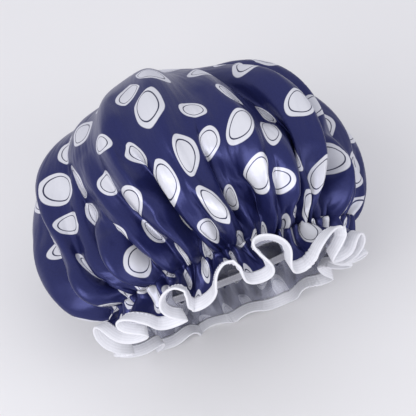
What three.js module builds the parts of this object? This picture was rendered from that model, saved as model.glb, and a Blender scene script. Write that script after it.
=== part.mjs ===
// A satin shower cap. A printed satin disc and a film liner disc are gathered together on a flat elastic, so that
// their margin stands out as a ruffle, and a folded tape is bound over the ruffle's edge.
// Millimetres, +Z up. The cap is drawn with its axis on +Z, the middle of its elastic at the origin and its upper
// side at -Y. It is then laid over, so that it rests on its crown and its ruffle with the mouth towards -Y.

import * as THREE from 'three';

// The filled-out crown, measured on the joint between the two sheets
const crownDiameter = 252;
const crownHeight = 174; // from the middle of the elastic to the top
const waistHeight = 57; // from the middle of the elastic to the widest ring

// The elastic, a flat tape whose ends are lapped and sewn
const elasticInnerDiameter = 184;
const elasticWidth = 6;
const elasticThickness = 1;
const lapLength = 14;
const lapRampLength = 12;

// The two sheets and the clearance between any two pieces that lie on each other
const satinThickness = 0.8;
const linerThickness = 0.6;
const layerGap = 0.4;

// The ruffle, which flares freely above and lies along the table below, and the tape bound over its edge
const ruffleDepth = 26;
const upperFlare = THREE.MathUtils.degToRad(62);
const lowerFlare = THREE.MathUtils.degToRad(-22);
const bindingWidth = 9.5;
const bindingThickness = 0.5;
const bindingFoldRoom = 0.5; // from the sheets' cut edge to the inside of the tape's fold

// The gathers, each height being that of a crest above the mean sheet on the upper side
const foldCount = 13;
const waistFold = 4;
const tuckFold = 5;
const elasticFold = 2.4;
const ruffleFold = 10;
const lowerFoldShare = 0.4; // how much of their height the folds keep on the side that lies on the table

// The sewing thread
const threadDiameter = 0.5;
const seamInset = 1.2; // from the edge of a tape to the seam along it
const lapStitchRows = 5;

// How the cap lies
const restTilt = THREE.MathUtils.degToRad(62);
const pressDepth = 4; // how far the table flattens the soft crown

// How finely the forms are divided
const sheetSteps = 4 * foldCount;
const domeRings = 4;
const tuckRings = 4;
const elasticSteps = 72;
const threadSides = 5;

const crownRadius = crownDiameter / 2;
const elasticRadius = elasticInnerDiameter / 2;
const threadRadius = threadDiameter / 2;

// Levels of the layers, measured outwards from the joint between the two sheets
const satinInner = layerGap / 2;
const satinOuter = satinInner + satinThickness;
const linerOuter = -layerGap / 2;
const linerInner = linerOuter - linerThickness;
const bindingOuterSeat = satinOuter + layerGap;
const bindingOuter = bindingOuterSeat + bindingThickness;
const bindingInnerSeat = linerInner - layerGap;
const bindingInner = bindingInnerSeat - bindingThickness;

// The elastic's outer end rides over its inner end, and lifts the sheets there
const lapAngle = -Math.PI / 2;
const lapLift = elasticThickness + layerGap;
const lapHalfAngle = lapLength / 2 / elasticRadius;
const lapRampAngle = lapRampLength / elasticRadius;

function lapShare(angle) {
  const turn = Math.atan2(Math.sin(angle - lapAngle), Math.cos(angle - lapAngle));
  const clearOfLap = lapHalfAngle + lapRampAngle;
  return 1 - THREE.MathUtils.smoothstep(Math.abs(turn), clearOfLap, clearOfLap + lapRampAngle);
}

// Radius of the gathered sheets at the elastic, where the innermost folds just clear it
function gatherRadius(angle) {
  const seat = elasticRadius + elasticThickness + layerGap - linerInner;
  return seat + elasticFold + lapLift * lapShare(angle);
}

// The gathers' wave round the cap, from -1 to 1, drifting so that no two folds are alike
function foldWave(angle) {
  const drift = 0.7 * Math.sin(2 * angle + 0.4) + 0.4 * Math.sin(3 * angle);
  return Math.cos(foldCount * angle + drift);
}

// The mean sheet's section at one angle, from the top of the crown to the hem. Each station is a point in the
// radius and height plane, the direction in which its folds stand out, and their height.
function stations(angle) {
  const upperShare = THREE.MathUtils.smoothstep((1 - Math.sin(angle)) / 2, 0, 0.6);
  const flare = THREE.MathUtils.lerp(lowerFlare, upperFlare, upperShare);
  const foldShare = THREE.MathUtils.lerp(lowerFoldShare, 1, upperShare);
  const bindingShare = 1 - bindingWidth / ruffleDepth;

  const waist = new THREE.Vector2(crownRadius, waistHeight);
  const gatherTop = new THREE.Vector2(gatherRadius(angle), elasticWidth / 2);
  const gatherFoot = new THREE.Vector2(gatherTop.x, -elasticWidth / 2);
  const neck = gatherFoot.clone().add(new THREE.Vector2(0, -ruffleDepth / 3));
  const flareDirection = new THREE.Vector2(Math.sin(flare), -Math.cos(flare));
  const hem = neck.clone().addScaledVector(flareDirection, (ruffleDepth * 2) / 3);

  const dome = new THREE.EllipseCurve(0, waistHeight, crownRadius, crownHeight - waistHeight, Math.PI / 2, 0, true);
  const tuck = new THREE.QuadraticBezierCurve(waist, new THREE.Vector2(crownRadius, gatherTop.y), gatherTop);
  const ruffle = new THREE.QuadraticBezierCurve(gatherFoot, neck, hem);
  const across = new THREE.Vector2(1, 0);

  const onCurve = (curve, t, fold) => {
    const along = curve.getTangent(t);
    return { at: curve.getPoint(t), out: new THREE.Vector2(-along.y, along.x), fold };
  };
  const ruffleStation = (t) => onCurve(ruffle, t, THREE.MathUtils.lerp(elasticFold, ruffleFold * foldShare, t));

  const row = [];
  for (let ring = 0; ring <= domeRings; ring++) {
    const t = ring / domeRings;
    row.push(onCurve(dome, t, waistFold * foldShare * t * t));
  }
  for (let ring = 1; ring < tuckRings; ring++) {
    row.push(onCurve(tuck, ring / tuckRings, tuckFold * foldShare));
  }
  row.push({ at: gatherTop, out: across, fold: elasticFold });
  row.push({ at: gatherFoot, out: across, fold: elasticFold });
  row.push(ruffleStation(bindingShare / 2), ruffleStation(bindingShare), ruffleStation(1));
  return row;
}

// The joint between the two sheets as a grid of points: one at the top of the crown, then a ring for each station
const angles = Array.from({ length: sheetSteps }, (_, step) => (step / sheetSteps) * 2 * Math.PI);
const sections = angles.map(stations);
const ringCount = sections[0].length - 1;
const hemRing = ringCount;
const bindingRing = ringCount - 1;

const at = (ring, step) => (ring === 0 ? 0 : 1 + (ring - 1) * sheetSteps + (step % sheetSteps));

const jointPoints = [new THREE.Vector3(0, 0, crownHeight)];
for (let ring = 1; ring <= ringCount; ring++) {
  angles.forEach((angle, step) => {
    const { at: mean, out, fold } = sections[step][ring];
    const folded = mean.clone().addScaledVector(out, fold * foldWave(angle));
    jointPoints.push(new THREE.Vector3(folded.x * Math.cos(angle), folded.x * Math.sin(angle), folded.y));
  });
}

// Triangles of the grid, facing outwards
const sheetFaces = [];
for (let step = 0; step < sheetSteps; step++) {
  sheetFaces.push([at(0, 0), at(1, step), at(1, step + 1)]);
  for (let ring = 1; ring < ringCount; ring++) {
    sheetFaces.push([at(ring, step), at(ring + 1, step), at(ring + 1, step + 1)]);
    sheetFaces.push([at(ring, step), at(ring + 1, step + 1), at(ring, step + 1)]);
  }
}

// For each point, the outward step that moves all the faces round it by one millimetre or a little more
function outwardSteps(points, faces) {
  const around = points.map(() => []);
  faces.forEach((face) => {
    const [a, b, c] = face.map((index) => points[index]);
    const normal = b.clone().sub(a).cross(c.clone().sub(a)).normalize();
    face.forEach((index) => around[index].push(normal));
  });
  return around.map((normals) => {
    const mean = normals.reduce((sum, normal) => sum.add(normal), new THREE.Vector3()).normalize();
    const least = Math.min(...normals.map((normal) => normal.dot(mean)));
    return mean.divideScalar(Math.max(least, 1 / 2));
  });
}
const outward = outwardSteps(jointPoints, sheetFaces);

// The table, as the cap sees it before it is laid over. It presses the crown in by pressDepth.
const up = new THREE.Vector3(0, -Math.sin(restTilt), Math.cos(restTilt));
const crownPoints = jointPoints.slice(0, at(domeRings + tuckRings, 0));
const crownLows = crownPoints.map((point, index) => point.dot(up) + outward[index].dot(up) * satinOuter);
const tableHeight = Math.min(...crownLows) + pressDepth;

// A point of a layer. Where the table presses, the layers lie on it in their order, the outermost being at it.
function layerPoint(ring, step, level, pastHem = 0) {
  const index = at(ring, step);
  const point = jointPoints[index].clone().addScaledVector(outward[index], level);
  if (pastHem > 0) {
    const along = jointPoints[index].clone().sub(jointPoints[at(ring - 1, step)]).normalize();
    point.addScaledVector(along, pastHem);
  }
  const outermost = ring >= bindingRing ? bindingOuter : satinOuter;
  const lift = tableHeight + (outermost - level) - point.dot(up);
  return lift > 0 ? point.addScaledVector(up, lift) : point;
}

function solid(points, faces) {
  const geometry = new THREE.BufferGeometry();
  geometry.setAttribute('position', new THREE.Float32BufferAttribute(points.flatMap((point) => point.toArray()), 3));
  geometry.setIndex(faces.flat());
  geometry.computeVertexNormals();
  return geometry;
}

// A sheet of the cap between two levels, closed round its hem
function sheetSolid(outerLevel, innerLevel) {
  const count = jointPoints.length;
  const points = [];
  [outerLevel, innerLevel].forEach((level) => {
    points.push(layerPoint(0, 0, level));
    for (let ring = 1; ring <= ringCount; ring++) {
      angles.forEach((_, step) => points.push(layerPoint(ring, step, level)));
    }
  });
  const faces = [...sheetFaces, ...sheetFaces.map(([a, b, c]) => [count + a, count + c, count + b])];
  for (let step = 0; step < sheetSteps; step++) {
    const here = at(hemRing, step);
    const next = at(hemRing, step + 1);
    faces.push([next, here, count + here], [next, count + here, count + next]);
  }
  return solid(points, faces);
}

// A closed loop of like cross-sections, or an open run of them with flat ends. Each side of the section makes a
// strip of four-cornered faces, split from its start to its end, or the other way where its slant is reversed.
function sweptSolid(crossSections, closed, reversedSlants = []) {
  const sides = crossSections[0].length;
  const count = crossSections.length;
  const faces = [];
  for (let section = 0; section < (closed ? count : count - 1); section++) {
    const here = section * sides;
    const next = ((section + 1) % count) * sides;
    for (let side = 0; side < sides; side++) {
      const after = (side + 1) % sides;
      const corners = [here + side, next + side, next + after, here + after];
      const [a, b, c, d] = reversedSlants[side] ? [...corners.slice(1), corners[0]] : corners;
      faces.push([a, b, c], [a, c, d]);
    }
  }
  if (!closed) {
    const last = (count - 1) * sides;
    for (let side = 1; side < sides - 1; side++) {
      faces.push([0, side, side + 1], [last, last + side + 1, last + side]);
    }
  }
  return solid(crossSections.flat(), faces);
}

// The tape folded over the hem: down inside its outer leg, round the fold and back up, then round it outside.
// Its faces are split the way the sheets' faces are, so that the folded layers stay parallel.
function bindingSolid() {
  const fold = bindingFoldRoom + bindingThickness;
  const outline = [
    [bindingRing, bindingOuterSeat, 0],
    [hemRing, bindingOuterSeat, bindingFoldRoom],
    [hemRing, bindingInnerSeat, bindingFoldRoom],
    [bindingRing, bindingInnerSeat, 0],
    [bindingRing, bindingInner, 0],
    [hemRing, bindingInner, fold],
    [hemRing, bindingOuter, fold],
    [bindingRing, bindingOuter, 0],
  ];
  const returning = outline.map(([ring], side) => outline[(side + 1) % outline.length][0] < ring);
  const crossSections = angles.map((_, step) =>
    outline.map(([ring, level, pastHem]) => layerPoint(ring, step, level, pastHem)),
  );
  return sweptSolid(crossSections, true, returning);
}

// A thread along a run of points, round in section
function threadSolid(path, closed) {
  const crossSections = path.map((point, index) => {
    const before = path[closed ? (index - 1 + path.length) % path.length : Math.max(index - 1, 0)];
    const after = path[closed ? (index + 1) % path.length : Math.min(index + 1, path.length - 1)];
    const along = after.clone().sub(before).normalize();
    const side = new THREE.Vector3(0, 0, 1).cross(along).normalize();
    const rise = along.clone().cross(side);
    return Array.from({ length: threadSides }, (_, corner) => {
      const turn = (corner / threadSides) * 2 * Math.PI;
      const reach = side.clone().multiplyScalar(Math.cos(turn)).addScaledVector(rise, Math.sin(turn));
      return point.clone().addScaledVector(reach, threadRadius);
    });
  });
  return sweptSolid(crossSections.reverse(), closed);
}

// The seam that holds the binding, lying on the tape's inner leg near its free edge
function bindingSeam() {
  const inset = seamInset / bindingWidth;
  const level = bindingInner - layerGap - threadRadius;
  const path = angles.map((_, step) =>
    layerPoint(bindingRing, step, level).lerp(layerPoint(hemRing, step, level), inset),
  );
  return threadSolid(path, true);
}

// The elastic's outline seen along the cap's axis: once round, then over its own first end by the length of the lap
function elasticSolid() {
  const start = lapAngle - lapHalfAngle;
  const sweep = 2 * Math.PI + 2 * lapHalfAngle;
  const outline = [];
  for (let step = 0; step <= elasticSteps; step++) {
    const turn = (step / elasticSteps) * sweep;
    const lift = lapLift * THREE.MathUtils.smoothstep(turn, 2 * Math.PI - lapRampAngle, 2 * Math.PI);
    outline.push({ angle: start + turn, inner: elasticRadius + lift });
  }
  const spot = (angle, radius) => new THREE.Vector2(radius * Math.cos(angle), radius * Math.sin(angle));
  const outside = outline.map(({ angle, inner }) => spot(angle, inner + elasticThickness));
  const inside = outline.map(({ angle, inner }) => spot(angle, inner)).reverse();
  const shape = new THREE.Shape([...outside, ...inside]);
  const geometry = new THREE.ExtrudeGeometry(shape, { depth: elasticWidth, bevelEnabled: false });
  return geometry.translate(0, 0, -elasticWidth / 2);
}

// A row of thread round the inside of the elastic
const elasticSeamRadius = elasticRadius - layerGap - threadRadius;
function elasticSeam(height) {
  const seam = new THREE.TorusGeometry(elasticSeamRadius, threadRadius, threadSides, elasticSteps);
  return seam.translate(0, 0, height);
}

// The zigzag that sews the elastic's two ends together, between the two rows
function lapStitch() {
  const reach = elasticWidth / 2 - seamInset - threadDiameter - layerGap;
  const path = [];
  for (let row = 0; row <= lapStitchRows; row++) {
    const angle = lapAngle + lapHalfAngle * ((2 * row) / lapStitchRows - 1);
    const height = row % 2 ? reach : -reach;
    path.push(new THREE.Vector3(elasticSeamRadius * Math.cos(angle), elasticSeamRadius * Math.sin(angle), height));
  }
  return threadSolid(path, false);
}

const satin = new THREE.MeshStandardMaterial({ color: 0x2b2f6b, roughness: 0.38, metalness: 0 });
const film = new THREE.MeshStandardMaterial({ color: 0xc9cad6, roughness: 0.45, metalness: 0 });
const knit = new THREE.MeshStandardMaterial({ color: 0xd8d6de, roughness: 0.85, metalness: 0 });
const tape = new THREE.MeshStandardMaterial({ color: 0xf1eff7, roughness: 0.6, metalness: 0 });
const thread = new THREE.MeshStandardMaterial({ color: 0xf4f3f8, roughness: 0.7, metalness: 0 });

const cap = new THREE.Group();
function addPiece(name, geometry, material) {
  const mesh = new THREE.Mesh(geometry, material);
  mesh.name = name;
  cap.add(mesh);
}

const seamHeight = elasticWidth / 2 - seamInset;
addPiece('satin_shell', sheetSolid(satinOuter, satinInner), satin);
addPiece('film_liner', sheetSolid(linerOuter, linerInner), film);
addPiece('elastic_band', elasticSolid(), knit);
addPiece('edge_binding', bindingSolid(), tape);
addPiece('binding_seam', bindingSeam(), thread);
addPiece('elastic_seam_crown_side', elasticSeam(seamHeight), thread);
addPiece('elastic_seam_ruffle_side', elasticSeam(-seamHeight), thread);
addPiece('elastic_lap_stitch', lapStitch(), thread);

// Laid over on its crown, with the origin under the middle of the whole
cap.rotation.x = -restTilt;
const part = new THREE.Group();
part.add(cap);
const box = new THREE.Box3().setFromObject(part, true);
const middle = box.getCenter(new THREE.Vector3());
cap.position.set(-middle.x, -middle.y, -box.min.z);

export default part;
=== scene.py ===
"""A puffed satin shower cap that lies on its side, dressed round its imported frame."""

import math

import bpy
import numpy as np
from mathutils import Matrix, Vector

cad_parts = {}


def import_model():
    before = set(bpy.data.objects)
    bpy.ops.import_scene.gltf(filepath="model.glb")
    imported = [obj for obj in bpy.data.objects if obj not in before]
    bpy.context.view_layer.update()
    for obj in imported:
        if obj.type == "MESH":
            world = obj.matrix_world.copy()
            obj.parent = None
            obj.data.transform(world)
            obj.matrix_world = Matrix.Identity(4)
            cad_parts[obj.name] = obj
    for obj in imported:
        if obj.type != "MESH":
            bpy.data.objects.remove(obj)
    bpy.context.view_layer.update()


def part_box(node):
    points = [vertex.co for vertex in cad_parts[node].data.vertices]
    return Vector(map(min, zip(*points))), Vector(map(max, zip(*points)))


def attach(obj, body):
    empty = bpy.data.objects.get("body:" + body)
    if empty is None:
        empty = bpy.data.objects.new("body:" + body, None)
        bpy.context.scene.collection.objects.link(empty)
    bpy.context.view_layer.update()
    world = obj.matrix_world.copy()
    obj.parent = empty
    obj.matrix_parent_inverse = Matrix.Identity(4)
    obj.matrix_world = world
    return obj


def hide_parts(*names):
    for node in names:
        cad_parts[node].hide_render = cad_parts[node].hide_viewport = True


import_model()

MM = 0.001
FULL_TURN = 2 * math.pi

# The filled-out crown, in the cap's own frame: its axis on Z, and the middle of the elastic at zero height
CROWN_RADIUS = 117 * MM
CROWN_HEIGHT = 184 * MM
WAIST_HEIGHT = 57 * MM
REST_TILT = math.radians(62)

# The elastic, and the sheets' seat just outside it. Angles run round the axis, with -90 degrees uppermost
ELASTIC_RADIUS = 92 * MM
ELASTIC_WIDTH = 6 * MM
ELASTIC_THICKNESS = 1 * MM
ELASTIC_RIBS = 7
RIB_HEIGHT = 0.1 * MM
RIB_EDGE_FALL = 0.25 * MM
RIB_EDGE_START = 0.42  # of the width, out from its middle
SEAT_RADIUS = 94.5 * MM
LAP_LENGTH = 14 * MM
LAP_ANGLE = -math.pi / 2
LAP_RAMP_ANGLE = 0.13
LAP_LIFT = 1.3 * ELASTIC_THICKNESS

# The ruffle, which flares above, lies close below and is tucked in on one side. Here and in the crown,
# a side's cosine is that of the angle from it at which its effect ends
RUFFLE_DEPTH = 34 * MM
UPPER_FLARE = math.radians(48)
LOWER_FLARE = math.radians(-8)
FLARE_BEND = 8 * MM
FLARE_SWING = math.radians(9)
LEAST_FLARE = 0.001
FLARED_SIDE = math.radians(-118)
FLARED_FROM, FLARED_FULL = 0.32, 0.85  # where 0 is the far side and 1 the flared side
TUCKED_SIDE = math.radians(-5)
TUCKED_COSINE = 0.7
TUCKED_FLARE = math.radians(26)

# The ruffle's loops, a meander whose heading swings by so many radians
LOOPS = 14
UPPER_MEANDER = 1.7
LOWER_MEANDER = 0.8
LOOP_LEAN = 7 * MM
LEAST_LOOP_RADIUS = 50 * MM

# Gathers: fine ones at the elastic, which join into middle ones and then into the crown's long folds
CROWN_FOLDS = 15
MIDDLE_FOLDS = 30
FINE_FOLDS = 60
FINE_REACH = 22 * MM
MIDDLE_REACH = 85 * MM
LONG_FOLDS_START = 20 * MM
LONG_FOLDS_FULL = 130 * MM
LONG_IN_MIDDLE_SHARE = 0.35
FOLDS_PAST_FOOT = 0.7 * RUFFLE_DEPTH
FOLD_WANDER = 28 * MM
CREASE_HEIGHT = 3 * MM
LOWER_FOLD_DEPTH = 0.75
UPPER_FOLD_EXTRA = 0.35
CROWDING_START = 70 * MM
UPPER_SHARE = 0.33

# The crown's lumps and raised shoulder, and the lengths of cloth from its top over which each rises and fades
LUMP_HEIGHT = 5 * MM
LUMP_TWIST = 20  # radians to a metre of cloth
LUMP_LENGTHS = (30 * MM, 120 * MM, 170 * MM, 240 * MM)
LOW_SIDE = math.radians(140)
LOW_SIDE_COSINE = 0.5
LOW_SIDE_SHARE = 0.6
SHOULDER_HEIGHT = 6.5 * MM
SHOULDER_SIDE = math.radians(-102)
SHOULDER_COSINE = 0.4
SHOULDER_LENGTHS = (10 * MM, 90 * MM, 150 * MM, 230 * MM)

# Unevenness round the cap: sums of sines, each with its height, its count and where it starts
LOOP_DRIFT = ((0.8, 2, 0.4), (0.5, 3, 1.0), (0.45, 5, 2.1))
LOOP_UNEVENNESS = ((0.14, 4, 0.7), (0.12, 9, 2.0))
FLARE_UNEVENNESS = ((1.0, 3, 0.6), (0.8, 8, 1.9))
LEAN_UNEVENNESS = ((1.0, 5, 0.4),)

# The cut of the cloth, as the share of a flat disc's rim that each ring keeps
CROWN_FULLNESS = 0.96
HEM_FULLNESS = 0.74
CUT_EASE = 1.025  # of every length
CROWN_CUT_START = 50 * MM
HEM_CUT_START = 200 * MM
RINGS = 72  # of the sheets' mesh

# Levels of the layers above the joint between the two sheets
SATIN_LEVEL = 0.3 * MM
LINER_LEVEL = -0.3 * MM
SHEET_THICKNESS = 0.22 * MM

# The binding
BINDING_WIDTH = 9.5 * MM
TAPE_WIDTH = 2.2 * BINDING_WIDTH  # before it is folded
TAPE_SEAT = 0.55 * MM
TAPE_THICKNESS = 0.35 * MM
TAPE_PUFF = 0.25 * MM
TAPE_STEPS = 960
TAPE_LEG_ROWS = 7
TAPE_FOLD_BENDS = np.radians([60, 20, -20, -60])

# The seams
THREAD_RADIUS = 0.22 * MM
THREAD_SIDES = 6
STITCH_LENGTH = 2.6 * MM
STITCH_SHARE = 0.82  # of its length that a stitch shows
STITCH_STEPS = 5
STITCH_ARCH = 0.12 * MM
STITCH_TIP = 0.97  # of its half length, where its end is cut off
ELASTIC_SEAM_INSET = 1.2 * MM
BINDING_SEAM_INSET = 1.3 * MM
BINDING_SEAM_LEVEL = TAPE_SEAT + TAPE_THICKNESS + 0.18 * MM
LAP_STITCHES = 8
LAP_STITCH_HEIGHT = 1.2 * MM
LAP_STITCH_DEPTH = 0.2 * MM
LAP_STITCH_GAP = 0.03  # of its length, at each end

# How the cloth settles. It is simulated at ten times its size, where Blender's cloth is steadier
SIM_FRAMES = 24
SIM_SCALE = 10
RUFFLE_HOLD = 0.8
CROWN_HOLD = 0.06
CROWN_HOLD_FADES = 160 * MM
CROWN_HOLD_ENDS = 240 * MM
SEAT_HOLD_REACH = 3.5 * MM
AIR_PRESSURE = 0.75
GRAVITY_SHARE = 0.6
TABLE_CLEARANCE = 1.2 * MM
TABLE_BLEND = 6 * MM
CLOTH_SETTINGS = dict(
    quality=6,
    mass=0.15,
    tension_stiffness=15,
    compression_stiffness=15,
    shear_stiffness=7.5,
    bending_stiffness=0.3,
    tension_damping=5,
    compression_damping=5,
    shear_damping=5,
    bending_damping=0.5,
    air_damping=3,
    pin_stiffness=1,
    use_pressure=True,
    uniform_pressure_force=AIR_PRESSURE,
)
CONTACT_SETTINGS = dict(
    collision_quality=3,
    distance_min=0.005,
    use_self_collision=True,
    self_distance_min=0.012,
    self_friction=2,
)

# Colours
NAVY = (0.0122, 0.0144, 0.062, 1)
WHITE = (0.655, 0.655, 0.685, 1)
INK = (0.012, 0.013, 0.03, 1)
THREAD_GAIN = 1.25  # of the navy, on its palest threads
SHEEN_TINT = (0.40, 0.43, 1.0, 1)
NAVY_BACK = (0.07, 0.075, 0.18, 1)
WHITE_BACK = (0.84, 0.84, 0.90, 1)
INK_BACK = (0.4, 0.4, 0.5, 1)
FILM_DARK, FILM_PALE = (0.74, 0.75, 0.86, 1), (0.84, 0.85, 0.93, 1)
TAPE_DARK, TAPE_PALE = (0.65, 0.65, 0.70, 1), (0.78, 0.78, 0.825, 1)
# The elastic's dark is mostly painted shade between its ribs, in the bands that run along it, and partly the
# tone of its weave across it
ELASTIC_WEAVE_AND_RIB_SHADE, ELASTIC_PALE = (0.40, 0.40, 0.46, 1), (0.74, 0.73, 0.78, 1)
THREAD_DARK, THREAD_PALE = (0.70, 0.70, 0.77, 1), (0.86, 0.86, 0.91, 1)
FLOOR_DARK, FLOOR_PALE = (0.80, 0.79, 0.80, 1), (0.82, 0.81, 0.82, 1)
SKY = (0.93, 0.94, 1.0, 1)

# The print, in cells of one dot each
DOT_SPACING = 38 * MM
DOT_SCATTER = 0.48
DOT_WARP = 0.18
DOT_STRETCH = 1.38
DOT_SMALLEST, DOT_LARGEST = 0.30, 0.45
DOT_EDGE = (1.02, 0.97)  # of its size
CROWDED_EDGE = (0.12, 0.03)  # of a cell, where dots draw back from their neighbours
CROWDED_LOSS = 0.5
LINE_PLACE = 0.72  # of the way from a dot's middle to its edge
LINE_EDGE = (0.042, 0.022)

# The view
VIEW_AZIMUTH = math.radians(25)
VIEW_ELEVATION = math.radians(48.5)
VIEW_DISTANCE = 1.0
VIEW_TARGET = (-0.002, -0.005, 0.121)
VIEW_LENS = 109

ring_low, ring_high = (np.array(corner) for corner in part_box("elastic_band"))
RING_CENTRE = (ring_low + ring_high) / 2


def smooth(value, low, high):
    share = np.clip((value - low) / (high - low), 0, 1)
    return share * share * (3 - 2 * share)


def lay(points):
    """Turn points from the cap's own frame to where it lies in the shared frame."""
    c, s = math.cos(-REST_TILT), math.sin(-REST_TILT)
    x, y, z = points[..., 0], points[..., 1], points[..., 2]
    return np.stack([x, y * c - z * s, y * s + z * c], -1) + RING_CENTRE


def around(radius, angle, height):
    return lay(np.stack([radius * np.cos(angle), radius * np.sin(angle), height], -1))


def mean_path(dome_steps=400, tuck_steps=200):
    """The mean section from the crown's top to the elastic's foot, and the length of cloth to each point."""
    sweep = np.linspace(0, math.pi / 2, dome_steps)
    rise = CROWN_HEIGHT - WAIST_HEIGHT
    dome = np.stack([CROWN_RADIUS * np.sin(sweep), WAIST_HEIGHT + rise * np.cos(sweep)], 1)
    t = np.linspace(0, 1, tuck_steps)[1:, None]
    waist = np.array([CROWN_RADIUS, WAIST_HEIGHT])
    corner = np.array([CROWN_RADIUS, ELASTIC_WIDTH / 2])
    seat = np.array([SEAT_RADIUS, ELASTIC_WIDTH / 2])
    foot = np.array([[SEAT_RADIUS, -ELASTIC_WIDTH / 2]])
    tuck = (1 - t) ** 2 * waist + 2 * t * (1 - t) * corner + t**2 * seat
    path = np.vstack([dome, tuck, foot])
    return path, np.concatenate([[0], np.cumsum(np.hypot(*np.diff(path, axis=0).T))])


PATH, PATH_LENGTHS = mean_path()
FOOT_LENGTH = PATH_LENGTHS[-1]
BAND_LENGTH = FOOT_LENGTH - ELASTIC_WIDTH / 2
HEM_LENGTH = FOOT_LENGTH + RUFFLE_DEPTH
CUT_SPAN = 2 * HEM_LENGTH
RING_STEP = HEM_LENGTH / RINGS

# The disc of cloth: ring k has 6k points
ring_numbers = np.arange(1, RINGS + 1)
RING_START = np.concatenate([[0], 1 + 3 * (ring_numbers - 1) * ring_numbers])
RADIUS = np.concatenate([[0.0]] + [np.full(6 * k, k * RING_STEP) for k in ring_numbers])
TURN = np.concatenate([[0.0]] + [np.arange(6 * k) / (6 * k) for k in ring_numbers])
ANGLE = TURN * FULL_TURN
PAST_FOOT = np.clip(RADIUS - FOOT_LENGTH, 0, None)


def disc_faces():
    def spot(ring, step):
        return 0 if ring == 0 else int(RING_START[ring]) + step % (6 * ring)

    faces = []
    for ring in range(1, RINGS + 1):
        for side in range(6):
            for step in range(ring):
                inner = spot(ring - 1, side * (ring - 1) + step)
                outer = spot(ring, side * ring + step)
                outer_next = spot(ring, side * ring + step + 1)
                faces.append((inner, outer, outer_next))
                if step < ring - 1:
                    inner_next = spot(ring - 1, side * (ring - 1) + step + 1)
                    faces.append((inner, outer_next, inner_next))
    return np.array(faces)


FACES = disc_faces()


def swing(sines, mean=0):
    return sum((height * np.sin(count * ANGLE + start) for height, count, start in sines), mean)


def facing(around_cap, side, least_cosine):
    """1 on a side of the cap, falling to 0 where the angle from it has the least cosine."""
    return smooth(np.cos(around_cap - side), least_cosine, 1)


def swelling(height, lengths):
    """A height that is reached and lost again over four lengths of cloth from the top."""
    start, full, fading, gone = lengths
    return height * smooth(RADIUS, start, full) * (1 - smooth(RADIUS, fading, gone))


def wave(count, seed, wander=0.0):
    """An uneven wave round the cap, of about count crests that wander as they run out from the top."""
    draw = np.random.default_rng(seed)

    def uneven(least, most, sines):
        counts = range(1, sines + 1)
        return sum(draw.uniform(least, most) * np.sin(n * ANGLE + draw.uniform(0, FULL_TURN)) for n in counts)

    drift = uneven(least=0.2, most=0.9, sines=4)
    height = 1 + uneven(least=0.1, most=0.25, sines=3)
    wandering = wander * np.sin(RADIUS / FOLD_WANDER + 3 * ANGLE + seed)
    return height * np.cos(count * ANGLE + drift + wandering)


def fold_height(fullness, count, radius, highest=1.2, tries=200, steps=400):
    """Height of count even folds round a ring that take up fullness times its length of cloth."""
    shares = np.linspace(0, highest, tries)
    slope = FULL_TURN * shares[:, None] * np.cos(np.linspace(0, FULL_TURN, steps))
    lengths = np.sqrt(1 + slope**2).mean(1)
    return np.interp(np.maximum(fullness, 1), lengths, shares) * FULL_TURN * radius / count


def meander(bend, phase):
    """How far an even meander, whose heading swings by bend, rises and shifts, per radian of phase."""
    first = bend / 2 - bend**3 / 16 + bend**5 / 384
    second = bend**2 / 8 - bend**4 / 96 + bend**6 / 3072
    third = bend**3 / 48 - bend**5 / 768
    return -2 * (first * np.cos(phase) + third * np.cos(3 * phase) / 3), second * np.sin(2 * phase)


def bent_section(flare, reach=0.5 * MM):
    """Each point's radius and height on the mean section, its ruffle flared, and the way out from it."""
    flare = np.where(np.abs(flare) < LEAST_FLARE, LEAST_FLARE, flare)
    bent = np.minimum(PAST_FOOT, FLARE_BEND) / FLARE_BEND
    straight = np.clip(PAST_FOOT - FLARE_BEND, 0, None)

    def path_at(lengths):
        return [np.interp(lengths, PATH_LENGTHS, PATH[:, k]) for k in (0, 1)]

    radius, height = path_at(RADIUS)
    radius = radius + FLARE_BEND / flare * (1 - np.cos(flare * bent)) + straight * np.sin(flare)
    height = height - FLARE_BEND / flare * np.sin(flare * bent) - straight * np.cos(flare)

    near, far = path_at(RADIUS - reach), path_at(RADIUS + reach)
    along_r = np.where(PAST_FOOT > 0, np.sin(flare * bent), far[0] - near[0])
    along_w = np.where(PAST_FOOT > 0, -np.cos(flare * bent), far[1] - near[1])
    size = np.hypot(along_r, along_w) + 1e-12
    return radius, height, -along_w / size, along_r / size


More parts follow.
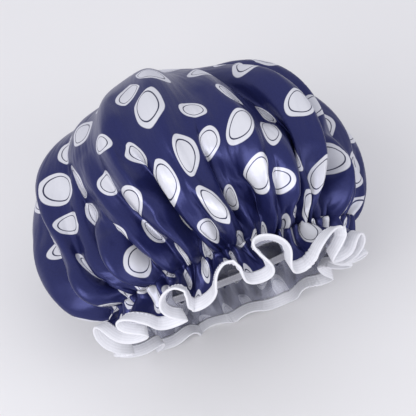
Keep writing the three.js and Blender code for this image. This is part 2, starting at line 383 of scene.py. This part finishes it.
def crown_folds(around_cap, mean_radius):
    """How far the gathers, the long folds and the lumps stand out from the mean section."""
    fullness = CROWN_FULLNESS * RADIUS / np.maximum(mean_radius, MM)
    from_band = np.abs(RADIUS - BAND_LENGTH)
    fine = np.exp(-((from_band / FINE_REACH) ** 2))
    middle = np.exp(-((from_band / MIDDLE_REACH) ** 2)) * (1 - fine)
    long_folds = np.clip(1 - fine - middle, 0, 1) * smooth(RADIUS, LONG_FOLDS_START, LONG_FOLDS_FULL)
    long_folds = long_folds + LONG_IN_MIDDLE_SHARE * middle
    depth = LOWER_FOLD_DEPTH + UPPER_FOLD_EXTRA * (1 - np.sin(around_cap)) / 2

    def creases(share, count, seed, wander):
        height = CREASE_HEIGHT + fold_height(fullness, count, mean_radius)
        return depth * share * height * wave(count, seed, wander)

    lumps = np.sin(3 * ANGLE + 1.1) + np.sin(5 * ANGLE + 3.0 + LUMP_TWIST * RADIUS)
    lumps = lumps + LOW_SIDE_SHARE * facing(around_cap, LOW_SIDE, LOW_SIDE_COSINE)
    shoulder = facing(around_cap, SHOULDER_SIDE, SHOULDER_COSINE)
    return (
        swelling(LUMP_HEIGHT * lumps, LUMP_LENGTHS)
        + swelling(SHOULDER_HEIGHT * shoulder, SHOULDER_LENGTHS)
        - creases(long_folds, CROWN_FOLDS, seed=1, wander=0.9)
        + creases(middle, MIDDLE_FOLDS, seed=2, wander=0.7)
        + fine * fold_height(fullness, FINE_FOLDS, mean_radius) * (1 + wave(FINE_FOLDS, seed=3))
    )


def gathered_points():
    """The sheet's points before it settles: the mean section with folds that take up its cloth."""
    crowding = smooth(RADIUS, CROWDING_START, BAND_LENGTH)
    around_cap = ANGLE - UPPER_SHARE * crowding * np.cos(ANGLE)
    upper = smooth((1 + np.cos(around_cap - FLARED_SIDE)) / 2, FLARED_FROM, FLARED_FULL)

    bends = (LOWER_MEANDER + (UPPER_MEANDER - LOWER_MEANDER) * upper) * swing(LOOP_UNEVENNESS, mean=1)
    rise, shift = meander(bends, LOOPS * ANGLE + swing(LOOP_DRIFT))
    radian_length = HEM_LENGTH * HEM_FULLNESS / LOOPS
    flare = LOWER_FLARE + (UPPER_FLARE - LOWER_FLARE) * upper + radian_length * rise / RUFFLE_DEPTH
    flare = flare - TUCKED_FLARE * facing(around_cap, TUCKED_SIDE, TUCKED_COSINE)
    flare = flare + FLARE_SWING * upper * swing(FLARE_UNEVENNESS)
    mean_radius, mean_height, out_r, out_w = bent_section(flare)

    folds = crown_folds(around_cap, mean_radius) * (1 - smooth(PAST_FOOT, 0, FOLDS_PAST_FOOT))
    radius = mean_radius + out_r * folds
    lean = LOOP_LEAN * upper * swing(LEAN_UNEVENNESS) * rise
    loop = smooth(PAST_FOOT, 0, RUFFLE_DEPTH)
    angle = around_cap + loop * (radian_length * shift + lean) / np.maximum(radius, LEAST_LOOP_RADIUS)
    return above_table(around(radius, angle, mean_height + out_w * folds))


def above_table(points):
    """Lift what would sink into the table, easing into it."""
    height = points[:, 2] - TABLE_CLEARANCE
    eased = TABLE_BLEND * np.exp(np.minimum(height - TABLE_BLEND, 0) / TABLE_BLEND)
    points[:, 2] = np.where(height < TABLE_BLEND, eased, height) + TABLE_CLEARANCE
    return points


def cut_points(steps=500):
    """The cloth as it was cut, which its settled shape can't stretch beyond."""
    lengths = np.linspace(0, HEM_LENGTH, steps)
    kept = 1 - (1 - CROWN_FULLNESS) * smooth(lengths, CROWN_CUT_START, HEM_CUT_START)
    kept = kept - (CROWN_FULLNESS - HEM_FULLNESS) * smooth(lengths, HEM_CUT_START, HEM_LENGTH)
    radius = lengths * kept
    fall = np.sqrt(np.clip(1 - np.gradient(radius, lengths) ** 2, 0, 1))
    depth = np.concatenate([[0], np.cumsum((fall[1:] + fall[:-1]) / 2 * np.diff(lengths))])
    r, z = np.interp(RADIUS, lengths, radius), -np.interp(RADIUS, lengths, depth)
    return np.stack([r * np.cos(ANGLE), r * np.sin(ANGLE), z], 1) * CUT_EASE


def hold(sheet):
    """Pin the cloth at the elastic, hold the ruffle near its shape, and the crown a little."""
    crown = CROWN_HOLD * (1 - smooth(RADIUS, CROWN_HOLD_FADES, CROWN_HOLD_ENDS))
    held = np.where(RADIUS > BAND_LENGTH, RUFFLE_HOLD, crown)
    held = np.where(np.abs(RADIUS - BAND_LENGTH) < SEAT_HOLD_REACH, 1.0, held)
    group = sheet.vertex_groups.new(name="held")
    for number, weight in enumerate(held):
        if weight > 0:
            group.add([number], float(weight), "REPLACE")
    return group.name


def settling_table():
    bpy.ops.mesh.primitive_plane_add(size=20, location=(0, 0, 0))
    table = bpy.context.object
    table.modifiers.new("collide", "COLLISION")
    table.collision.thickness_outer = 0.01
    table.collision.cloth_friction = 20
    return table


def assign(target, settings):
    for name, value in settings.items():
        setattr(target, name, value)


def settle(points):
    """Let the cloth settle on the table, held by its elastic, with a little air in the crown."""
    scene = bpy.context.scene
    mesh = bpy.data.meshes.new("settling")
    mesh.from_pydata((points * SIM_SCALE).tolist(), [], FACES.tolist())
    sheet = bpy.data.objects.new("settling", mesh)
    scene.collection.objects.link(sheet)
    sheet.shape_key_add(name="Basis")
    cut = sheet.shape_key_add(name="cut")
    cut.data.foreach_set("co", (cut_points() * SIM_SCALE).ravel())
    held = hold(sheet)
    table = settling_table()

    cloth = sheet.modifiers.new("cloth", "CLOTH")
    assign(cloth.settings, CLOTH_SETTINGS)
    assign(cloth.collision_settings, CONTACT_SETTINGS)
    cloth.settings.vertex_group_mass = held
    cloth.settings.rest_shape_key = cut
    cloth.settings.effector_weights.gravity = GRAVITY_SHARE
    cloth.point_cache.frame_start = 1
    cloth.point_cache.frame_end = SIM_FRAMES + 2
    for step in range(1, SIM_FRAMES + 1):
        scene.frame_set(step)

    settled = sheet.evaluated_get(bpy.context.evaluated_depsgraph_get()).to_mesh()
    out = np.empty(len(points) * 3)
    settled.vertices.foreach_get("co", out)
    bpy.data.objects.remove(sheet)
    bpy.data.objects.remove(table)
    scene.frame_set(1)
    return out.reshape(-1, 3) / SIM_SCALE


def vertex_normals(points, faces):
    a, b, c = (points[faces[:, k]] for k in range(3))
    face_normals = np.cross(b - a, c - a)
    normals = np.zeros_like(points)
    for k in range(3):
        np.add.at(normals, faces[:, k], face_normals)
    return normals / np.maximum(np.linalg.norm(normals, axis=1, keepdims=True), 1e-12)


def relaxed(points, rounds=2, share=0.4):
    """Even out the small facets that settling leaves, without moving the hem."""
    edges = np.vstack([FACES[:, [0, 1]], FACES[:, [1, 2]], FACES[:, [2, 0]]])
    edges = np.unique(np.sort(edges, 1), axis=0)
    inner = RADIUS < HEM_LENGTH - RING_STEP / 2
    for _ in range(rounds):
        total, count = np.zeros_like(points), np.zeros(len(points))
        for one, other in ((0, 1), (1, 0)):
            np.add.at(total, edges[:, one], points[edges[:, other]])
            np.add.at(count, edges[:, one], 1)
        mean = total / count[:, None]
        points = np.where(inner[:, None], points + share * (mean - points), points)
    return points


def spline(before, start, end, after, t):
    """A smooth value between start and end, which four even neighbours give."""
    bend = 2 * before - 5 * start + 4 * end - after
    twist = 3 * (start - end) + after - before
    return start + t / 2 * (end - before + t * (bend + t * twist))


class Sheet:
    """The settled sheet, read at any length from its top, turn and level."""

    def __init__(self, points):
        self.points = points
        self.normals = vertex_normals(points, FACES)

    def ring(self, values, ring, turn):
        if ring > RINGS:
            return 2 * self.ring(values, RINGS, turn) - self.ring(values, RINGS - 1, turn)
        count = 6 * ring
        row = values[RING_START[ring] : RING_START[ring] + count]
        place = turn * count
        step = np.floor(place).astype(int)
        near = [row[(step + shift) % count] for shift in (-1, 0, 1, 2)]
        return spline(*near, (place - step)[:, None])

    def along(self, values, length, turn):
        place = length / RING_STEP
        ring = min(int(place), RINGS - 1)
        near = [self.ring(values, ring + shift, turn) for shift in (-1, 0, 1, 2)]
        return spline(*near, place - ring)

    def normal(self, length, turn):
        normal = self.along(self.normals, length, turn)
        return normal / np.linalg.norm(normal, axis=1, keepdims=True)

    def at(self, length, turn, level=0.0):
        return self.along(self.points, length, turn) + self.normal(length, turn) * level

    def past_hem(self, turn):
        step = self.at(HEM_LENGTH, turn) - self.at(HEM_LENGTH - RING_STEP, turn)
        return step / np.linalg.norm(step, axis=1, keepdims=True)


# Materials, all built from nodes
def material(name, roughness, **sockets):
    made = bpy.data.materials.new(name)
    made.use_nodes = True
    shader = made.node_tree.nodes["Principled BSDF"]
    shader.inputs["Roughness"].default_value = roughness
    for socket, value in sockets.items():
        shader.inputs[socket.replace("_", " ")].default_value = value
    return made, made.node_tree, shader


def plug(tree, socket, value):
    """Link a node's output to a socket, or set a plain value on it."""
    if isinstance(value, bpy.types.NodeSocket):
        tree.links.new(value, socket)
    else:
        socket.default_value = value


def add(tree, kind, inputs=(), **settings):
    node = tree.nodes.new(kind)
    assign(node, settings)
    for socket, value in dict(inputs).items():
        plug(tree, node.inputs[socket], value)
    return node


def math_node(tree, operation, a, b=0.0, c=0.0):
    return add(tree, "ShaderNodeMath", {0: a, 1: b, 2: c}, operation=operation).outputs[0]


def vector_node(tree, operation, a, b=(0, 0, 0)):
    return add(tree, "ShaderNodeVectorMath", {0: a, 1: b}, operation=operation).outputs[0]


def scale_node(tree, vector, scale):
    node = add(tree, "ShaderNodeVectorMath", {0: vector, "Scale": scale}, operation="SCALE")
    return node.outputs[0]


def length_node(tree, vector):
    return add(tree, "ShaderNodeVectorMath", {0: vector}, operation="LENGTH").outputs["Value"]


def mix_colour(tree, share, a, b):
    node = add(tree, "ShaderNodeMix", data_type="RGBA")
    for socket, value in ((0, share), (6, a), (7, b)):
        plug(tree, node.inputs[socket], value)
    return node.outputs[2]


def step_node(tree, value, low, high, first=0.0, last=1.0):
    inputs = {0: value, 1: low, 2: high, 3: first, 4: last}
    return add(tree, "ShaderNodeMapRange", inputs, interpolation_type="SMOOTHSTEP").outputs[0]


def noise_node(tree, vector, scale, detail):
    inputs = {"Vector": vector, "Scale": scale, "Detail": detail}
    return add(tree, "ShaderNodeTexNoise", inputs).outputs["Fac"]


def bump(tree, shader, height, strength, distance):
    node = add(tree, "ShaderNodeBump", {"Height": height, "Strength": strength, "Distance": distance})
    tree.links.new(node.outputs[0], shader.inputs["Normal"])


def flat_cloth(tree):
    """Where a point is on the flat cloth, whose width spans 0 to 1."""
    return add(tree, "ShaderNodeUVMap", uv_map="cloth").outputs[0]


def scaled_cloth(tree, scale=1):
    mapping = {"Vector": flat_cloth(tree), "Scale": (scale, scale, scale)}
    return add(tree, "ShaderNodeMapping", mapping).outputs[0]


def warped_cloth(tree):
    """The flat cloth, measured in cells of the print and gently warped."""
    place = scale_node(tree, flat_cloth(tree), CUT_SPAN / DOT_SPACING)
    wobble_inputs = {"Vector": place, "Scale": 1.5, "Detail": 0.0}
    wobble = add(tree, "ShaderNodeTexNoise", wobble_inputs, noise_dimensions="2D").outputs["Color"]
    centred = vector_node(tree, "SUBTRACT", wobble, (0.5, 0.5, 0.5))
    return vector_node(tree, "ADD", place, scale_node(tree, centred, DOT_WARP))


def cell_node(tree, vector, **settings):
    inputs = {"Vector": vector, "Scale": 1.0, "Randomness": DOT_SCATTER}
    return add(tree, "ShaderNodeTexVoronoi", inputs, voronoi_dimensions="2D", **settings)


def print_masks(tree):
    """The print, on the flat cloth: uneven pebbles, each with a thin closed line drawn inside its edge."""
    place = warped_cloth(tree)
    cells = cell_node(tree, place)
    chance = add(tree, "ShaderNodeSeparateColor", {0: cells.outputs["Color"]})
    local = vector_node(tree, "SUBTRACT", place, cells.outputs["Position"])
    turning = {"Vector": local, "Angle": math_node(tree, "MULTIPLY", chance.outputs[0], FULL_TURN)}
    turned = add(tree, "ShaderNodeVectorRotate", turning, rotation_type="Z_AXIS").outputs[0]
    distance = length_node(tree, vector_node(tree, "MULTIPLY", turned, (1.0, DOT_STRETCH, 0.0)))
    size = step_node(tree, chance.outputs[1], 0.0, 1.0, DOT_SMALLEST, DOT_LARGEST)

    borders = cell_node(tree, place, feature="DISTANCE_TO_EDGE").outputs["Distance"]
    crowded = step_node(tree, borders, *CROWDED_EDGE, last=CROWDED_LOSS)
    share = math_node(tree, "ADD", math_node(tree, "DIVIDE", distance, size), crowded)
    line = math_node(tree, "ABSOLUTE", math_node(tree, "SUBTRACT", share, LINE_PLACE))
    return step_node(tree, share, *DOT_EDGE), step_node(tree, line, *LINE_EDGE)


def running_creases(tree, scale, start, least):
    """Creases that run out from the top of the flat cloth and deepen from start towards the elastic."""
    arm = vector_node(tree, "SUBTRACT", flat_cloth(tree), (0.5, 0.5, 0.0))
    length = length_node(tree, arm)
    heading = vector_node(tree, "NORMALIZE", arm)
    rise = add(tree, "ShaderNodeCombineXYZ", {"Z": math_node(tree, "MULTIPLY", length, 0.9)}).outputs[0]
    creases = noise_node(tree, vector_node(tree, "ADD", heading, rise), scale, detail=2.0)
    depth = step_node(tree, length, start, BAND_LENGTH / CUT_SPAN, first=least)
    return math_node(tree, "MULTIPLY", creases, depth)


def satin_material(name, navy, white, ink, roughness):
    made, tree, shader = material(
        name, roughness, Metallic=0.08, Specular_IOR_Level=0.75, Specular_Tint=SHEEN_TINT
    )
    dot, inked = print_masks(tree)
    threads = noise_node(tree, scaled_cloth(tree, 60), scale=8.0, detail=3.0)
    shade = step_node(tree, threads, 0.3, 0.7)
    ground = mix_colour(tree, shade, navy, tuple(THREAD_GAIN * v for v in navy[:3]) + (1,))
    figure = mix_colour(tree, inked, white, ink)
    tree.links.new(mix_colour(tree, dot, ground, figure), shader.inputs["Base Color"])

    weave_inputs = {"Vector": scaled_cloth(tree), "Scale": 420.0, "Distortion": 1.5}
    weave = add(tree, "ShaderNodeTexWave", weave_inputs).outputs["Fac"]
    wrinkle = noise_node(tree, scaled_cloth(tree), scale=45.0, detail=4.0)
    folds = running_creases(tree, scale=9.0, start=0.02, least=0.5)
    gathers = running_creases(tree, scale=18.0, start=0.12, least=0.15)
    height = math_node(tree, "MULTIPLY", folds, 7.0)
    for part, share in ((gathers, 2.8), (wrinkle, 0.6), (weave, 0.03)):
        height = math_node(tree, "MULTIPLY_ADD", part, share, height)
    bump(tree, shader, height, strength=0.6, distance=0.8 * MM)
    return made


def film_material():
    made, tree, shader = material("film", 0.24, Specular_IOR_Level=1.0, Alpha=0.30)
    haze = step_node(tree, noise_node(tree, scaled_cloth(tree), scale=14.0, detail=3.0), 0.3, 0.7)
    tree.links.new(mix_colour(tree, haze, FILM_DARK, FILM_PALE), shader.inputs["Base Color"])
    crumple = noise_node(tree, scaled_cloth(tree), scale=70.0, detail=5.0)
    pleats = math_node(tree, "MULTIPLY", running_creases(tree, scale=26.0, start=0.2, least=0.2), 5.0)
    height = math_node(tree, "MULTIPLY_ADD", crumple, 0.5, pleats)
    bump(tree, shader, height, strength=0.9, distance=1.2 * MM)
    return made


def woven_material(name, dark, pale, thread_scale, roughness, cross=1.0):
    """A tape's weave, whose bands across the tape are as strong as cross says."""
    made, tree, shader = material(
        name, roughness, Sheen_Weight=0.3, Sheen_Roughness=0.5, Specular_IOR_Level=0.3
    )
    uv = add(tree, "ShaderNodeUVMap", uv_map="tape").outputs[0]
    mapping = {"Vector": uv, "Scale": (thread_scale, thread_scale, 1)}
    place = add(tree, "ShaderNodeMapping", mapping).outputs[0]
    wave_inputs = {"Vector": place, "Scale": 0.32, "Distortion": 0.4}
    x_bands, y_bands = (
        add(tree, "ShaderNodeTexWave", wave_inputs, bands_direction=way).outputs["Fac"] for way in ("X", "Y")
    )
    # Dark where both bands are low. On the elastic, the bands along it are painted shade between its ribs
    weave = math_node(tree, "MAXIMUM", math_node(tree, "MULTIPLY", x_bands, cross), y_bands)
    cloud = step_node(tree, noise_node(tree, uv, scale=160.0, detail=3.0), 0.25, 0.75, first=0.7)
    shade = math_node(tree, "MULTIPLY", weave, cloud)
    tree.links.new(mix_colour(tree, shade, dark, pale), shader.inputs["Base Color"])
    pucker = noise_node(tree, uv, scale=210.0, detail=2.0)
    height = math_node(tree, "MULTIPLY_ADD", weave, 0.12, pucker)
    bump(tree, shader, height, strength=0.55, distance=0.7 * MM)
    return made


def thread_material():
    made, tree, shader = material("thread", 0.6, Sheen_Weight=0.2)
    twist = add(tree, "ShaderNodeTexNoise", {"Scale": 900.0, "Detail": 2.0}).outputs["Fac"]
    tree.links.new(mix_colour(tree, twist, THREAD_DARK, THREAD_PALE), shader.inputs["Base Color"])
    bump(tree, shader, twist, strength=0.3, distance=0.1 * MM)
    return made


satin_face = satin_material("satin", NAVY, WHITE, INK, roughness=0.30)
satin_back = satin_material("satin_back", NAVY_BACK, WHITE_BACK, INK_BACK, roughness=0.55)
film = film_material()
tape_cloth = woven_material("binding", TAPE_DARK, TAPE_PALE, thread_scale=1300, roughness=0.75)
# The elastic's dark bands along its length are painted shade between its ribs, over a faint weave across it
elastic_knit = woven_material(
    "elastic", ELASTIC_WEAVE_AND_RIB_SHADE, ELASTIC_PALE, thread_scale=1000, roughness=0.8, cross=0.35
)
sewing_thread = thread_material()


# Pieces
def piece(name, points, faces, slot, *materials):
    mesh = bpy.data.meshes.new(name)
    mesh.from_pydata(np.asarray(points).tolist(), [], [tuple(int(v) for v in face) for face in faces])
    mesh.validate()
    mesh.polygons.foreach_set("use_smooth", [True] * len(mesh.polygons))
    for made in materials:
        mesh.materials.append(made)
    made = bpy.data.objects.new(name, mesh)
    bpy.context.scene.collection.objects.link(made)
    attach(made, "root")
    return made


def write_uv(made, name, coordinates):
    """Give each corner the coordinates of its vertex."""
    mesh = made.data
    layer = mesh.uv_layers.new(name=name)
    corners = np.empty(len(mesh.loops), int)
    mesh.loops.foreach_get("vertex_index", corners)
    layer.data.foreach_set("uv", np.asarray(coordinates)[corners].ravel())


def sheet_piece(name, level, slot, *materials):
    points = sheet.points + sheet.normals * level
    made = piece(name, points, FACES, slot, *materials)
    flat = np.stack([RADIUS * np.cos(ANGLE), RADIUS * np.sin(ANGLE)], 1) / CUT_SPAN + 0.5
    write_uv(made, "cloth", flat)
    finer = made.modifiers.new("finer", "SUBSURF")
    finer.levels = finer.render_levels = 1
    thick = made.modifiers.new("thick", "SOLIDIFY")
    thick.thickness = SHEET_THICKNESS
    thick.offset = 0
    thick.material_offset = len(materials) - 1
    return made


def swept_piece(name, sections, slot, made_of, closed, spans):
    """Join closed sections into a tube, with coordinates that run to the spans along and across it."""
    sections = np.asarray(sections)
    count, sides = sections.shape[:2]
    grid = np.arange(count * sides).reshape(count, sides)
    after = np.roll(grid, -1, 0)
    rows = slice(None) if closed else slice(0, count - 1)
    near, far = grid[rows], after[rows]
    faces = np.stack([near, far, np.roll(far, -1, 1), np.roll(near, -1, 1)], -1).reshape(-1, 4).tolist()
    if not closed:
        faces += [grid[0].tolist(), grid[-1][::-1].tolist()]
    made = piece(name, sections.reshape(-1, 3), faces, slot, made_of)
    steps = np.linspace(0, spans[0], count), np.linspace(0, spans[1], sides)
    lengths, across = np.meshgrid(*steps, indexing="ij")
    write_uv(made, "tape", np.stack([lengths.ravel(), across.ravel()], 1))
    return made


points = gathered_points()
points = settle(points)
sheet = Sheet(relaxed(points))

satin = sheet_piece("satin", SATIN_LEVEL, "satin", satin_face, satin_back)
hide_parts("satin_shell")
liner = sheet_piece("liner", LINER_LEVEL, "film", film)
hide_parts("film_liner")


def binding_sections():
    """The tape's section at each step round the hem: out over the satin, round, and back under the film."""
    turn = np.arange(TAPE_STEPS) / TAPE_STEPS
    hem, past, normal = sheet.at(HEM_LENGTH, turn), sheet.past_hem(turn), sheet.normal(HEM_LENGTH, turn)

    def leg(side, level):
        rows = []
        for share in np.linspace(0, 1, TAPE_LEG_ROWS):
            puffed = level + TAPE_PUFF * math.sin(math.pi * share)
            rows.append(sheet.at(HEM_LENGTH - BINDING_WIDTH * (1 - share), turn, side * puffed))
        return rows

    def fold(level):
        ways = [((TAPE_SEAT + level) / 2 * math.cos(bend), math.sin(bend)) for bend in TAPE_FOLD_BENDS]
        return [hem + past * out + normal * level * up for out, up in ways]

    def layer(level):
        return leg(1, level) + fold(level) + leg(-1, level)[::-1]

    return np.stack(layer(TAPE_SEAT + TAPE_THICKNESS) + layer(TAPE_SEAT)[::-1], 1)


tape_spans = (FULL_TURN * HEM_LENGTH, TAPE_WIDTH)
binding = swept_piece("binding", binding_sections(), "binding", tape_cloth, True, tape_spans)
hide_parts("edge_binding")


def elastic_sections(steps=420):
    """A flat ribbed tape, once round the opening and over its own end by the lap."""
    lap = LAP_LENGTH / ELASTIC_RADIUS
    sweep = np.linspace(0, FULL_TURN + lap, steps)
    angle = LAP_ANGLE - lap / 2 + sweep
    lift = LAP_LIFT * smooth(sweep, FULL_TURN - LAP_RAMP_ANGLE, FULL_TURN)
    across = np.linspace(-0.5, 0.5, 4 * ELASTIC_RIBS + 1)
    rib = RIB_HEIGHT * np.cos(across * ELASTIC_RIBS * FULL_TURN)
    rib = rib - RIB_EDGE_FALL * smooth(np.abs(across), RIB_EDGE_START, 0.5)
    inner = np.stack([ELASTIC_RADIUS - rib, across * ELASTIC_WIDTH], 1)
    outer = np.stack([ELASTIC_RADIUS + ELASTIC_THICKNESS + rib, across * ELASTIC_WIDTH], 1)[::-1]
    return np.stack([around(r + lift, angle, np.full_like(angle, w)) for r, w in (*outer, *inner)], 1)


elastic_spans = (FULL_TURN * ELASTIC_RADIUS, 2 * (ELASTIC_WIDTH + ELASTIC_THICKNESS))
elastic = swept_piece("elastic", elastic_sections(), "elastic", elastic_knit, False, elastic_spans)
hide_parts("elastic_band")


def stitched(name, paths, node):
    """A run of stitches, each a short thread along its own path of points."""
    unlike_any_stitch = np.array([0.31, 0.52, 0.8])
    points, faces = [], []
    for path in paths:
        along = np.gradient(path, axis=0)
        along /= np.linalg.norm(along, axis=1, keepdims=True)
        side = np.cross(along, unlike_any_stitch)
        side /= np.linalg.norm(side, axis=1, keepdims=True)
        rise = np.cross(along, side)
        taper = np.sqrt(np.clip(1 - np.linspace(-STITCH_TIP, STITCH_TIP, len(path)) ** 6, 0, 1))
        first = len(points)
        for spot, s, r, t in zip(path, side, rise, taper):
            for corner in range(THREAD_SIDES):
                bearing = FULL_TURN * corner / THREAD_SIDES
                points.append(spot + (s * math.cos(bearing) + r * math.sin(bearing)) * THREAD_RADIUS * t)
        for row in range(len(path) - 1):
            for corner in range(THREAD_SIDES):
                after = (corner + 1) % THREAD_SIDES
                a, b = first + row * THREAD_SIDES, first + (row + 1) * THREAD_SIDES
                faces.append((a + corner, a + after, b + after, b + corner))
        last = first + (len(path) - 1) * THREAD_SIDES
        faces.append(tuple(first + c for c in reversed(range(THREAD_SIDES))))
        faces.append(tuple(last + c for c in range(THREAD_SIDES)))
    made = piece(name, np.array(points), faces, "thread", sewing_thread)
    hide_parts(node)
    return made


def stitch_turns(length):
    """The turns at the points of each stitch, on a seam of this length round the cap."""
    count = int(length / STITCH_LENGTH)
    return [(number + np.linspace(0, STITCH_SHARE, STITCH_STEPS)) / count for number in range(count)]


arch = np.sin(np.linspace(0, math.pi, STITCH_STEPS)) * STITCH_ARCH
for name, node, side in (
    ("elastic_stitches_crown_side", "elastic_seam_crown_side", 1),
    ("elastic_stitches_ruffle_side", "elastic_seam_ruffle_side", -1),
):
    height = np.full(STITCH_STEPS, side * (ELASTIC_WIDTH / 2 - ELASTIC_SEAM_INSET))
    runs = [
        around(ELASTIC_RADIUS - STITCH_ARCH - arch, turn * FULL_TURN, height)
        for turn in stitch_turns(FULL_TURN * ELASTIC_RADIUS)
    ]
    stitched(name, runs, node)


def lap_zigzag():
    """The zigzag that joins the ends of the elastic."""
    runs = []
    for row in range(LAP_STITCHES):
        shares = np.array([row, row + 1]) / LAP_STITCHES - 0.5
        height = np.array([1, -1]) * LAP_STITCH_HEIGHT * (1 if row % 2 else -1)
        radius = np.full(2, ELASTIC_RADIUS - LAP_STITCH_DEPTH)
        start, end = around(radius, LAP_ANGLE + shares * LAP_LENGTH / ELASTIC_RADIUS, height)
        steps = np.linspace(LAP_STITCH_GAP, 1 - LAP_STITCH_GAP, STITCH_STEPS)
        runs.append(start + (end - start) * steps[:, None])
    return runs


def binding_runs():
    """The binding's seam, seen on both faces of the ruffle."""
    length = HEM_LENGTH - BINDING_WIDTH + BINDING_SEAM_INSET
    runs = []
    for turn in stitch_turns(FULL_TURN * HEM_LENGTH * HEM_FULLNESS):
        runs += [sheet.at(length, turn, side * (BINDING_SEAM_LEVEL + arch[:, None])) for side in (1, -1)]
    return runs


stitched("lap_stitches", lap_zigzag(), "elastic_lap_stitch")
stitched("binding_stitches", binding_runs(), "binding_seam")


# The floor, the light and the camera
def stage():
    bpy.ops.mesh.primitive_plane_add(size=8, location=(0, 0, 0))
    floor = bpy.context.object
    floor.name = "floor"
    made, tree, shader = material("floor", 0.85, Specular_IOR_Level=0.15)
    ground = add(tree, "ShaderNodeTexNoise", {"Scale": 30.0, "Detail": 2.0}).outputs["Fac"]
    tree.links.new(mix_colour(tree, ground, FLOOR_DARK, FLOOR_PALE), shader.inputs["Base Color"])
    floor.data.materials.append(made)


def world(strength):
    made = bpy.data.worlds.new("studio")
    bpy.context.scene.world = made
    made.use_nodes = True
    background = made.node_tree.nodes["Background"]
    background.inputs["Color"].default_value = SKY
    background.inputs["Strength"].default_value = strength


def lamp(name, place, size, power, target=(0, 0, 0.08)):
    data = bpy.data.lights.new(name, "AREA")
    data.energy, data.size = power, size
    made = bpy.data.objects.new(name, data)
    bpy.context.scene.collection.objects.link(made)
    made.location = place
    made.rotation_euler = (Vector(target) - Vector(place)).to_track_quat("-Z", "Y").to_euler()


def camera():
    level = math.cos(VIEW_ELEVATION)
    forward = Vector(
        (math.sin(VIEW_AZIMUTH) * level, math.cos(VIEW_AZIMUTH) * level, -math.sin(VIEW_ELEVATION))
    )
    data = bpy.data.cameras.new("camera")
    data.lens = VIEW_LENS
    made = bpy.data.objects.new("camera", data)
    bpy.context.scene.collection.objects.link(made)
    made.location = Vector(VIEW_TARGET) - forward * VIEW_DISTANCE
    made.rotation_euler = forward.to_track_quat("-Z", "Y").to_euler()
    bpy.context.scene.camera = made


stage()
world(strength=0.74)
lamp("key", place=(-1.55, -0.95, 1.6), size=1.4, power=29)
lamp("front", place=(0.9, -1.9, 1.2), size=1.6, power=13)
camera()
bpy.context.scene.view_settings.view_transform = "Standard"
